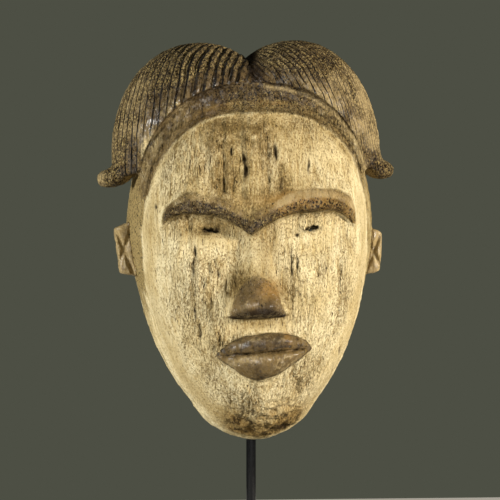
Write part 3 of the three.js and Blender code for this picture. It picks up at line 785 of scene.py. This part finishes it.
def holes_soot_and_painted_shade(at):
    """Dirt and shade in holes, splits and cuts, soot caught in the rough patina, and painted shade under
    the nose and the brow, round the eye slits and in the hair's cleft.
    """
    x, z = at.x, at.z
    around_eye = hill(np.abs(x - EYE["shift"]) - EYE["x"], z - EYE["z"], 6.4, 2.0) * at.plate
    below_tip = falling(z - 2.5 * hill(x - NOSE["x"] - 1, 0, 8, 1), 75.6, 78.8)
    under_nose = smoothstep(nose_shape(x, z), 2.6, 8.5) * at.plate * below_tip
    cleft = np.abs(lobe_field(x, at.d, z, LEFT_LOBE) - lobe_field(x, at.d, z, RIGHT_LOBE))
    sooty = 0.2 * at.brow_top + 0.35 * at.ear + 0.65 * at.hair * (1 - at.flank) + 0.5 * at.on_band
    sooty = sooty + 0.4 * (at.lips + at.upper_lip + at.nose) + 0.5 * at.lips * (z < 42)
    return strongest(
        np.clip(at.weathered * (0.28 * at.pits + 0.35 * at.worms) + at.mark / 1.3, 0, 1),
        # Painted shade round the eye slits.
        around_eye * smoothstep(at.crumble, 0.38, 0.56),
        0.3 * at.plate * at.rot * smoothstep(at.crumble, 0.5, 0.68),
        0.75 * at.plate * at.rot * smoothstep(at.grit, 0.55, 0.69),
        # Painted shade under the nose and along its bottom.
        0.9 * under_nose,
        at.nose * falling(z, 74.5, 77.5),
        # Painted shade under the brow's lower edge.
        0.5 * at.brow_dark * falling(at.above_brow, -4.4, -2.2),
        0.55 * at.brow_dark * smoothstep(at.grit, 0.48, 0.64),
        0.35 * at.brow_dark * left_right(x, 1, 0.4),
        np.minimum(sooty, 0.8) * smoothstep(at.grit, 0.54, 0.68),
        # Painted shade in the cleft between the hair's lobes.
        0.9 * at.hair * falling(cleft, 2, 9) * smoothstep(x, -4, 0),
        0.7 * at.upper_lip * hill(x + 1, z - 58, 18, 5) * smoothstep(at.grit, 0.36, 0.6),
        0.3 * at.upper_lip,
    )


def rubbed_thin_and_painted_glints(at):
    """Where handling has rubbed the patina, most of all on what stands out, with painted highlights on the
    hair's ends, the lips and the nose's wings, and painted light in the crease along the hairline.
    """
    x, z = at.x, at.z
    seam = falling(np.abs(hairline_distance(x, z) - 0.3), 0.6, 2.6)
    lip_edge = at.lips * (1 - at.upper_lip) * hill(z - mouth_parting(x) + 3.2, x + 10, 3.2, 17)
    return strongest(
        at.hair * np.clip(0.35 * at.rubbed + 0.9 * at.flank, 0, 1),
        0.7 * at.tip * smoothstep(np.abs(x), 83, 90),
        # A pale rubbed ridge along the hairline, and painted light in the crease beside it.
        seam * smoothstep(at.d, 35, 55) * smoothstep(z, 120, 140) * left_right(x, 0.25, 0.75, 6),
        0.7 * lip_edge,
        at.ear * left_right(x, 0.7, 0.85),
        at.brow_top * (1 - at.brow_dark) * smoothstep(x, 0, 14) * mix(0.6, 1.1, at.rubbed),
        at.on_band * mix(0.35, 0.6, at.rubbed) * smoothstep(-x, 22, 42),
        at.on_band * 0.5 * smoothstep(x, 40, 58),
        # Painted highlights on the hair's ends, the lips and the nose's wings.
        1.1 * at.strand_ends * smoothstep(at.grit, 0.36, 0.54),
        (0.9 * at.lip_glints + 0.8 * at.wing_glints) * smoothstep(at.grit, 0.42, 0.58),
    )


def smoke_damp_and_painted_shade(at):
    """Stains on the bare wood, the smoked forehead and the damp chin, with painted shade at the face's
    edges and top rim, on the lids, on and beside the nose and between nose and lips.
    """
    x, z = at.x, at.z
    forehead = patches(x, z, SMOKED_FOREHEAD) * smoothstep(at.inset + 6 * (at.crumble - 0.5), -1.0, 2.5)
    # Darker along the face's top rim: stain there, and painted shade.
    rim = 0.75 * np.exp(-(((at.inset - 2) / 3) ** 2)) * smoothstep(z, 150, 172)
    stain_and_shade = strongest(forehead, rim) * mix(0.4, 1, at.crumble * 1.7)
    # Painted shade at the face's edges.
    edge = left_right(x, 0.48, 0.45) * falling(at.inset, 3, 12) * falling(z, 140, 165)
    by_brow = 0.55 * hill(at.above_brow - 5, x - 3, 9, 34) * at.plate
    return at.plate * np.clip(stain_and_shade + edge + by_brow + 0.45 * at.rot + patches(x, z, SHADED), 0, 1)


def warm_brown(at):
    """Where amber shows through: the band's lower edge, the right brow, and by nose and mouth."""
    amber = at.on_band * falling(at.share, 0.28, 0.42) * 0.6 + 0.8 * at.brow_top * smoothstep(at.x, 4, 14)
    amber = amber * mix(0.5, 1, at.rubbed) + at.plate * patches(at.x, at.z, AMBER)
    return np.clip(amber + 0.5 * at.plate * at.rot * at.rubbed, 0, 1)


def polish(at):
    """How far handling has polished each part."""
    x, z = at.x, at.z
    edge_of_hair = falling(np.abs(hairline_distance(x, z) - 4), 2, 11)
    edge_of_hair = edge_of_hair * left_right(x, 1, 0.5) * mix(0.3, 1, smoothstep(z, 172, 188))
    gloss = np.clip(at.ear + 0.8 * at.lips + at.nose + 0.6 * at.brow - 0.25 * at.brow_dark, 0, 1)
    gloss = gloss + 0.5 * at.on_band * smoothstep(-x, 12, 32) + 0.2 * at.roll
    gloss = gloss + at.hair * (edge_of_hair + 0.26) + at.side * 0.25 * smoothstep(z, 140, 165)
    return np.clip(gloss, 0, 1) + 1.8 * at.strand_ends + 1.2 * (at.lip_glints + at.wing_glints)


def wood_state(at):
    """What the wood's finish needs to know at each point of the surface."""
    patina, deep = patina_shares(at)
    eroded_band = at.on_band * mix(1.1, 0.7, smoothstep(at.share, 0.3, 0.45))
    return dict(
        patina=patina, deep=deep, cavity_and_shade=holes_soot_and_painted_shade(at), worn=rubbed_thin_and_painted_glints(at), inner=at.inner,
        stain_and_shade=smoke_damp_and_painted_shade(at), gloss=polish(at), eroded=strongest(at.weathered, eroded_band),
        strand=at.strand, open_cut=at.open_cut, amber=warm_brown(at),
    )


def carve_mask(voxel):
    """The mask's surface as vertices and quads, in its own frame."""
    low = np.array([-96, -3, -3], dtype=np.float32)
    high = np.array([92, 106, 242], dtype=np.float32)
    counts = np.ceil((high - low) / voxel).astype(int) + 1
    axes = [low[n] + voxel * np.arange(counts[n], dtype=np.float32) for n in range(3)]
    x = axes[0][:, None, None]
    d = axes[1][None, :, None]
    z = axes[2][None, None, :]
    field = mask_field(x, d, z).astype(np.float32)
    vertices, quads = surface_net(field, low, voxel)
    normals = vertex_normals(vertices, quads)
    sink = sunk(survey(vertices), vertices)
    keep = smoothstep(vertices[:, 1], 0.4, 2.0)
    return vertices - normals * (sink * keep)[:, None], quads


def decimated(mesh, triangles):
    """The mesh with no more than that many triangles, fewest where it is smoothest."""
    carrier = bpy.data.objects.new("carving", mesh)
    bpy.context.scene.collection.objects.link(carrier)
    count = sum(len(p.vertices) - 2 for p in mesh.polygons)
    modifier = carrier.modifiers.new("fewer", "DECIMATE")
    modifier.ratio = min(1.0, triangles / count)
    bpy.context.view_layer.update()
    thinner = bpy.data.meshes.new_from_object(carrier.evaluated_get(bpy.context.evaluated_depsgraph_get()))
    bpy.data.objects.remove(carrier)
    return thinner


def mesh_from(vertices, quads):
    mesh = bpy.data.meshes.new("mask")
    mesh.vertices.add(len(vertices))
    mesh.vertices.foreach_set("co", vertices.astype(np.float32).ravel())
    mesh.loops.add(quads.size)
    mesh.loops.foreach_set("vertex_index", quads.astype(np.int32).ravel())
    mesh.polygons.add(len(quads))
    mesh.polygons.foreach_set("loop_start", np.arange(0, quads.size, 4, dtype=np.int32))
    mesh.update(calc_edges=True)
    mesh.validate()
    return mesh


def add_node(tree, kind, inputs, output=0, **settings):
    """Adds a node with its settings. Each input is a value or another node's output."""
    node = tree.nodes.new(kind)
    for name, value in settings.items():
        setattr(node, name, value)
    for socket, value in inputs.items():
        if isinstance(value, bpy.types.NodeSocket):
            tree.links.new(value, node.inputs[socket])
        else:
            node.inputs[socket].default_value = value
    return node.outputs[output]


def new_material(name):
    """A material with its node tree, its shader and coordinates in metres on the piece itself."""
    material = bpy.data.materials.new(name)
    material.use_nodes = True
    tree = material.node_tree
    coords = add_node(tree, "ShaderNodeTexCoord", {}, "Object")
    return material, tree, tree.nodes["Principled BSDF"], coords


# The patterns of the wood: how long their features are along x, depth and z in millimetres, how many
# finer layers they have and how strong those are.
WOOD_PATTERNS = dict(
    fibres=((1.0, 1.0, 9), 4, 0.65),
    streaks=((2.6, 2.6, 26), 3, 0.6),
    mottle=((0.9, 0.9, 1.5), 3, 0.7),
    blotch=((8, 8, 15), 4, 0.6),
    patches=((24, 24, 42), 4, 0.55),
    dashes=((0.5, 0.5, 2.6), 2, 0.5),
    slots=((1.0, 1.0, 6), 2, 0.45),
    specks=((1.1, 1.1, 1.3), 2, 0.6),
    handling=((3, 3, 4.5), 3, 0.6),
)

# Patterns worked out from others, in this order: the new one, its sum or product, and its terms.
WOOD_STEPS = (
    # Rot opens more dashes where the wood is most eroded, in columns along the softest streaks.
    ("rotted", "MULTIPLY", "eroded", "streaks"),
    ("rotted_dashes", "MULTIPLY_ADD", "rotted", 0.18, "dashes"),
    ("rotted_slots", "MULTIPLY_ADD", "rotted", 0.18, "slots"),
    ("bare_fibres", "MULTIPLY_ADD", "eroded", 0.12, "fibres"),
    ("bare_mottle", "MULTIPLY_ADD", "eroded", 0.12, "mottle"),
    # Each strand of hair is one whole step of the strand attribute, with a knife cut between steps.
    ("swayed", "MULTIPLY_ADD", "blotch", 0.6, "strand"),
    ("along_step", "FRACT", "swayed"),
    ("off_middle", "SUBTRACT", "along_step", 0.5),
    ("from_middle", "ABSOLUTE", "off_middle"),
    # Worn patina shows pale where the mottle is high; worn also holds painted highlights and painted light
    # along the hairline.
    ("rubbed", "MULTIPLY", "worn", "mottle"),
    ("flecks", "MULTIPLY", "stain_and_shade", "specks"),
    # Polished parts have fewer pale crumbs and fewer specks of soot, which gathers in deep patina.
    ("unpolished", "MULTIPLY_ADD", "gloss", -0.85, 1),
    ("grit", "MULTIPLY", "mottle", "unpolished"),
    ("smooth", "MULTIPLY_ADD", "gloss", -0.14, 1),
    ("crumbs", "MULTIPLY", "mottle", "smooth"),
    ("fewer_specks", "MULTIPLY", "specks", "smooth"),
    ("soot", "MULTIPLY_ADD", "deep", 0.07, "fewer_specks"),
    # The patina's border is ragged, as it is where it has flaked off the bare wood.
    ("blotched", "MULTIPLY_ADD", "blotch", 0.8, "patina"),
    ("ragged", "MULTIPLY_ADD", "mottle", 0.7, "blotched"),
    # Furrows lie between the hard fibres, deepest where rot has gone furthest.
    ("furrow", "MULTIPLY_ADD", "eroded", -1.1, -0.2),
    ("furrowed", "MULTIPLY", "fibres", "furrow"),
    ("height", "MULTIPLY_ADD", "rotted", -1.5, "furrowed"),
    ("matt", "MULTIPLY_ADD", "blotch", 0.3, 0.66),
)

# Patterns cut off softly: the new one, what it is cut from, where it starts and ends, and its least.
WOOD_CUTS = (
    ("dashes", "rotted_dashes", 0.71, 0.76, 0),
    ("slots", "rotted_slots", 0.71, 0.76, 0),
    ("knife_cut", "from_middle", 0.32, 0.41, 0),
    ("coated", "ragged", 1.03, 1.41, 0),
    # Hands have polished the patina in patches. Dry, open-grained wood between them hardly shines.
    ("touched", "handling", 0.44, 0.58, 0.1),
)

# What the carving hands to its finish, as numbers on the mesh's points.
WOOD_STATE = (
    "patina", "deep", "cavity_and_shade", "worn", "inner", "stain_and_shade", "gloss", "eroded", "strand", "open_cut",
    "amber",
)


def layered_colour(tree, patterns, base, layers):
    """Colours laid over a base one after another, each where its pattern passes from low to high."""
    colour = base
    for name, low, high, most, tint in layers:
        share = add_node(
            tree, "ShaderNodeMapRange",
            {"Value": patterns[name], "From Min": low, "From Max": high, "To Max": most},
            interpolation_type="SMOOTHSTEP",
        )
        colour = add_node(tree, "ShaderNodeMix", {0: share, 6: colour, 7: tint}, 2, data_type="RGBA")
    return colour


def weathered_wood(finish):
    """Old carved softwood, weathered outdoors and handled.

    The bare face is pale and dry: its soft grain has rotted out between the hard fibres, which leaves
    short dashes along the grain and a matt, furrowed surface; the dashes and furrows are coloured darker,
    for the dirt in them and as painted shade in them. Hair, brow, nose, lips and ears keep a dark patina
    of smoke and handling, rubbed glossy on what stands out and matt in the cuts. Painted shade darkens
    the wood under the nose and brow, round the eye slits and in the hair's cleft, and painted highlights
    lighten the hair's ends, the lips and the nose's wings.
    """
    material, tree, shader, coords = new_material("weathered_carved_wood")
    patterns = {}
    for name in WOOD_STATE:
        patterns[name] = add_node(
            tree, "ShaderNodeAttribute", {}, "Fac", attribute_name=name, attribute_type="GEOMETRY"
        )
    for name, (lengths, detail, roughness) in WOOD_PATTERNS.items():
        scaled = add_node(
            tree, "ShaderNodeVectorMath", {0: coords, 1: tuple(1000 / n for n in lengths)},
            operation="MULTIPLY",
        )
        patterns[name] = add_node(
            tree, "ShaderNodeTexNoise",
            {"Vector": scaled, "Scale": 1, "Detail": detail, "Roughness": roughness}, "Fac",
        )
    for name, operation, *terms in WOOD_STEPS:
        inputs = {place: patterns.get(term, term) for place, term in enumerate(terms)}
        patterns[name] = add_node(tree, "ShaderNodeMath", inputs, operation=operation)
    for name, source, low, high, least in WOOD_CUTS:
        patterns[name] = add_node(
            tree, "ShaderNodeMapRange",
            {"Value": patterns[source], "From Min": low, "From Max": high, "To Min": least},
            interpolation_type="SMOOTHSTEP",
        )
    patterns["shine"] = add_node(
        tree, "ShaderNodeMath", {0: patterns["gloss"], 1: patterns["touched"]}, operation="MULTIPLY"
    )
    for name, limit in (("knife_cut", "open_cut"), ("shine", "coated")):
        patterns[name] = add_node(
            tree, "ShaderNodeMath", {0: patterns[name], 1: patterns[limit]}, operation="MULTIPLY",
            use_clamp=True,
        )

    pale = layered_colour(tree, patterns, tuple(finish.bare_wood), [
        ("patches", 0.38, 0.62, 0.6, linear("#dcc48c")),
        ("streaks", 0.48, 0.64, 0.45, linear("#b99d62")),
        ("blotch", 0.48, 0.70, 0.4, linear("#ab9159")),
        # Stains, with painted shade at the face's edges and rim, on the lids and round the nose.
        ("stain_and_shade", 0, 1, 0.9, tuple(finish.stained_and_shaded_wood)),
        # Darker fibres and mottle here, and dashes and slots below: dirt in the furrows and pits, and
        # painted shade in them.
        ("bare_fibres", 0.54, 0.70, 0.55, linear("#8f7441")),
        ("bare_mottle", 0.55, 0.66, 0.7, linear("#7b6132")),
        ("flecks", 0.28, 0.50, 0.65, linear("#4d3a1c")),
        ("amber", 0, 1, 0.6, linear("#8f6a31")),
        ("dashes", 0, 1, 0.8, linear("#644c24")),
        ("slots", 0, 1, 0.9, linear("#3b2a13")),
    ])
    dark = layered_colour(tree, patterns, tuple(finish.patina), [
        # Deep patina, with painted shade under the nose's tip and the hair's painted shadow on the band.
        ("deep", 0, 1, 1.0, tuple(finish.deep_patina_and_shade)),
        ("blotch", 0.46, 0.66, 0.5, linear("#2a1c0c")),
        ("amber", 0, 1, 0.65, linear("#96733c")),
        ("crumbs", 0.50, 0.62, 0.6, linear("#a4905e")),
        ("grit", 0.36, 0.46, 0.75, linear("#a5905e")),
        ("soot", 0.56, 0.63, 0.95, linear("#080502")),
        # Rubbed patina, with painted highlights on the hair's ends, lips and nose wings, and painted light
        # along the hairline.
        ("rubbed", 0.12, 0.5, 0.75, tuple(finish.rubbed_edge_and_glints)),
        ("slots", 0, 1, 0.8, linear("#0f0803")),
        ("knife_cut", 0, 1, 0.97, linear("#060301")),
    ])
    raw = layered_colour(tree, patterns, linear("#8d7347"), [
        ("fibres", 0.4, 0.65, 1.0, linear("#6a5330")),
    ])
    colour = pale
    for name, over in (("coated", dark), ("inner", raw)):
        colour = add_node(
            tree, "ShaderNodeMix", {0: patterns[name], 6: colour, 7: over}, 2, data_type="RGBA"
        )
    # Dirt and shade in holes, with painted shade under the nose and brow, round the eye slits and in the
    # hair's cleft.
    colour = layered_colour(tree, patterns, colour, [("cavity_and_shade", 0, 1, 0.9, tuple(finish.cavity_and_shade))])
    tree.links.new(colour, shader.inputs["Base Color"])

    for socket, more, least in (("Specular IOR Level", 0.5, 0.07), ("Roughness", -0.64, patterns["matt"])):
        value = add_node(
            tree, "ShaderNodeMath", {0: patterns["shine"], 1: more, 2: least}, operation="MULTIPLY_ADD"
        )
        tree.links.new(value, shader.inputs[socket])

    height = patterns["height"]
    for name, depth in (("grit", 0.6), ("dashes", 0.35), ("slots", 0.5), ("knife_cut", 0.7)):
        height = add_node(
            tree, "ShaderNodeMath", {0: patterns[name], 1: -depth, 2: height}, operation="MULTIPLY_ADD"
        )
    normal = add_node(
        tree, "ShaderNodeBump", {"Height": height, "Strength": 1.0, "Distance": 0.003}, "Normal"
    )
    tree.links.new(normal, shader.inputs["Normal"])
    return material


def toned_material(name, scales, detail, dark, pale):
    """A material that wavers between two tones along a fine pattern."""
    material, tree, shader, coords = new_material(name)
    scaled = add_node(tree, "ShaderNodeVectorMath", {0: coords, 1: scales}, operation="MULTIPLY")
    pattern = add_node(
        tree, "ShaderNodeTexNoise", {"Vector": scaled, "Scale": 1, "Detail": detail}, "Fac"
    )
    colour = add_node(
        tree, "ShaderNodeMix", {0: pattern, 6: linear(dark), 7: linear(pale)}, 2, data_type="RGBA"
    )
    tree.links.new(colour, shader.inputs["Base Color"])
    return material, tree, shader, pattern


def painted_steel():
    """Satin black paint on a steel rod: even and fairly glossy, with a faint orange peel."""
    material, tree, shader, peel = toned_material(
        "satin_black_painted_steel", (260, 260, 260), 3, "#070708", "#0f1011"
    )
    roughness = add_node(tree, "ShaderNodeMath", {0: peel, 1: 0.1, 2: 0.08}, operation="MULTIPLY_ADD")
    tree.links.new(roughness, shader.inputs["Roughness"])
    shader.inputs["Specular IOR Level"].default_value = 0.3
    return material


def black_lacquer():
    """Satin black lacquer on the foot: smooth, with the wood's long pores faint under it."""
    material, tree, shader, pores = toned_material(
        "satin_black_lacquered_wood", (60, 830, 830), 3, "#0f0f0f", "#1c1a18"
    )
    roughness = add_node(tree, "ShaderNodeMath", {0: pores, 1: 0.18, 2: 0.3}, operation="MULTIPLY_ADD")
    tree.links.new(roughness, shader.inputs["Roughness"])
    normal = add_node(
        tree, "ShaderNodeBump", {"Height": pores, "Strength": 0.12, "Distance": 0.0002}, "Normal"
    )
    tree.links.new(normal, shader.inputs["Normal"])
    return material


def pale_paper():
    """Plain pale paper on the studio floor: matt, with a barely visible tooth."""
    material, _, shader, _ = toned_material("pale_paper", (330, 330, 330), 2, "#cfccc4", "#d6d3cb")
    shader.inputs["Roughness"].default_value = 0.9
    return material


def dress(node, material):
    node.data.materials.clear()
    node.data.materials.append(material)


class MASK_OT_carve(bpy.types.Operator):
    """Carve the mask and give it its weathered finish"""

    bl_idname = "mask.carve"
    bl_label = "Carve mask"

    def execute(self, context):
        place = context.scene.mask_placement
        mesh = decimated(mesh_from(*carve_mask(place.voxel * 1000)), place.triangles)
        thin = np.empty(len(mesh.vertices) * 3, dtype=np.float32)
        mesh.vertices.foreach_get("co", thin)
        thin = thin.reshape(-1, 3)
        for name, values in wood_state(survey(thin)).items():
            attribute = mesh.attributes.new(name, "FLOAT", "POINT")
            attribute.data.foreach_set("value", values.astype(np.float32))
        cosine, sine = math.cos(place.roll), math.sin(place.roll)
        x = thin[:, 0] / 1000
        z = thin[:, 2] / 1000
        placed = np.stack([
            x * cosine - z * sine + place.offset,
            place.rim_y - thin[:, 1] / 1000,
            x * sine + z * cosine + place.chin_height,
        ], axis=1)
        mesh.vertices.foreach_set("co", placed.astype(np.float32).ravel())
        mesh.flip_normals()
        mesh.polygons.foreach_set("use_smooth", np.ones(len(mesh.polygons), dtype=bool))
        mesh.update()
        piece = bpy.data.objects.new("carved_mask", mesh)
        context.scene.collection.objects.link(piece)
        dress(piece, weathered_wood(context.scene.mask_finish))
        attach(piece, "root")
        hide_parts("mask")
        return {"FINISHED"}


class MASK_OT_stand(bpy.types.Operator):
    """Finish the rod and the foot that carry the mask"""

    bl_idname = "mask.stand"
    bl_label = "Finish stand"

    def execute(self, context):
        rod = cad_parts["stand_rod"]
        rod.data.polygons.foreach_set("use_smooth", [True] * len(rod.data.polygons))
        dress(rod, painted_steel())
        dress(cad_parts["stand_base"], black_lacquer())
        return {"FINISHED"}


def add_light(name, location, target, size, power, colour):
    light = bpy.data.lights.new(name, "AREA")
    light.shape = "RECTANGLE"
    light.size, light.size_y = size
    light.energy = power
    light.color = colour
    lamp = bpy.data.objects.new(name, light)
    lamp.location = location
    lamp.rotation_euler = (Vector(target) - Vector(location)).to_track_quat("-Z", "Y").to_euler()
    bpy.context.scene.collection.objects.link(lamp)
    return lamp


class MASK_OT_stage(bpy.types.Operator):
    """Set up the camera, the lights and the floor"""

    bl_idname = "mask.stage"
    bl_label = "Set up studio"

    def execute(self, context):
        stage = context.scene.mask_stage
        aim = Vector(stage.aim)
        away = Vector((
            math.sin(stage.camera_turn) * math.cos(stage.camera_rise),
            -math.cos(stage.camera_turn) * math.cos(stage.camera_rise),
            math.sin(stage.camera_rise),
        ))
        lens = bpy.data.cameras.new("camera")
        lens.sensor_width = 36
        lens.lens = lens.sensor_width * stage.distance / stage.view_width
        lens.clip_end = 20
        camera = bpy.data.objects.new("camera", lens)
        camera.location = aim + away * stage.distance
        camera.rotation_euler = (-away).to_track_quat("-Z", "Y").to_euler()
        context.scene.collection.objects.link(camera)
        context.scene.camera = camera

        middle = (0, 0, 0.2)
        add_light("key_left", (-1.46, -0.64, 0.32), middle, (0.25, 0.25), 35, (1.0, 1.0, 1.0))
        add_light("key_right", (1.36, -0.84, 0.50), middle, (0.25, 0.25), 49, (1.0, 0.94, 0.87))
        add_light("fill", (0.0, -1.9, 0.3), middle, (1.6, 1.2), 2.6, (1.0, 0.98, 0.92))

        bpy.ops.mesh.primitive_plane_add(size=1.0, location=(0, 0, 0))
        floor = context.object
        floor.name = "floor"
        dress(floor, pale_paper())

        world = bpy.data.worlds.new("studio")
        world.use_nodes = True
        background = world.node_tree.nodes["Background"]
        background.inputs["Color"].default_value = linear("#4d4f44")
        background.inputs["Strength"].default_value = 1.0
        context.scene.world = world
        # Colours on the screen are then the ones that the materials name.
        context.scene.view_settings.view_transform = "Standard"
        return {"FINISHED"}


class MASK_PT_panel(bpy.types.Panel):
    """Sizes and actions for the mask"""

    bl_idname = "MASK_PT_panel"
    bl_label = "Mask"
    bl_space_type = "VIEW_3D"
    bl_region_type = "UI"
    bl_category = "Mask"

    def draw(self, context):
        layout = self.layout
        for group in (context.scene.mask_placement, context.scene.mask_finish, context.scene.mask_stage):
            for name in group.__annotations__:
                layout.prop(group, name)
        for operator in (MASK_OT_carve, MASK_OT_stand, MASK_OT_stage):
            layout.operator(operator.bl_idname)


CLASSES = (
    MaskPlacement, WoodFinish, StageSettings, MASK_OT_carve, MASK_OT_stand, MASK_OT_stage, MASK_PT_panel,
)


def register():
    for item in CLASSES:
        bpy.utils.register_class(item)
    bpy.types.Scene.mask_placement = PointerProperty(type=MaskPlacement)
    bpy.types.Scene.mask_finish = PointerProperty(type=WoodFinish)
    bpy.types.Scene.mask_stage = PointerProperty(type=StageSettings)


def unregister():
    del bpy.types.Scene.mask_stage
    del bpy.types.Scene.mask_finish
    del bpy.types.Scene.mask_placement
    for item in reversed(CLASSES):
        bpy.utils.unregister_class(item)


def main():
    register()
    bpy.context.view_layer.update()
    bpy.ops.mask.carve()
    bpy.ops.mask.stand()
    bpy.ops.mask.stage()


if __name__ == "__main__":
    main()
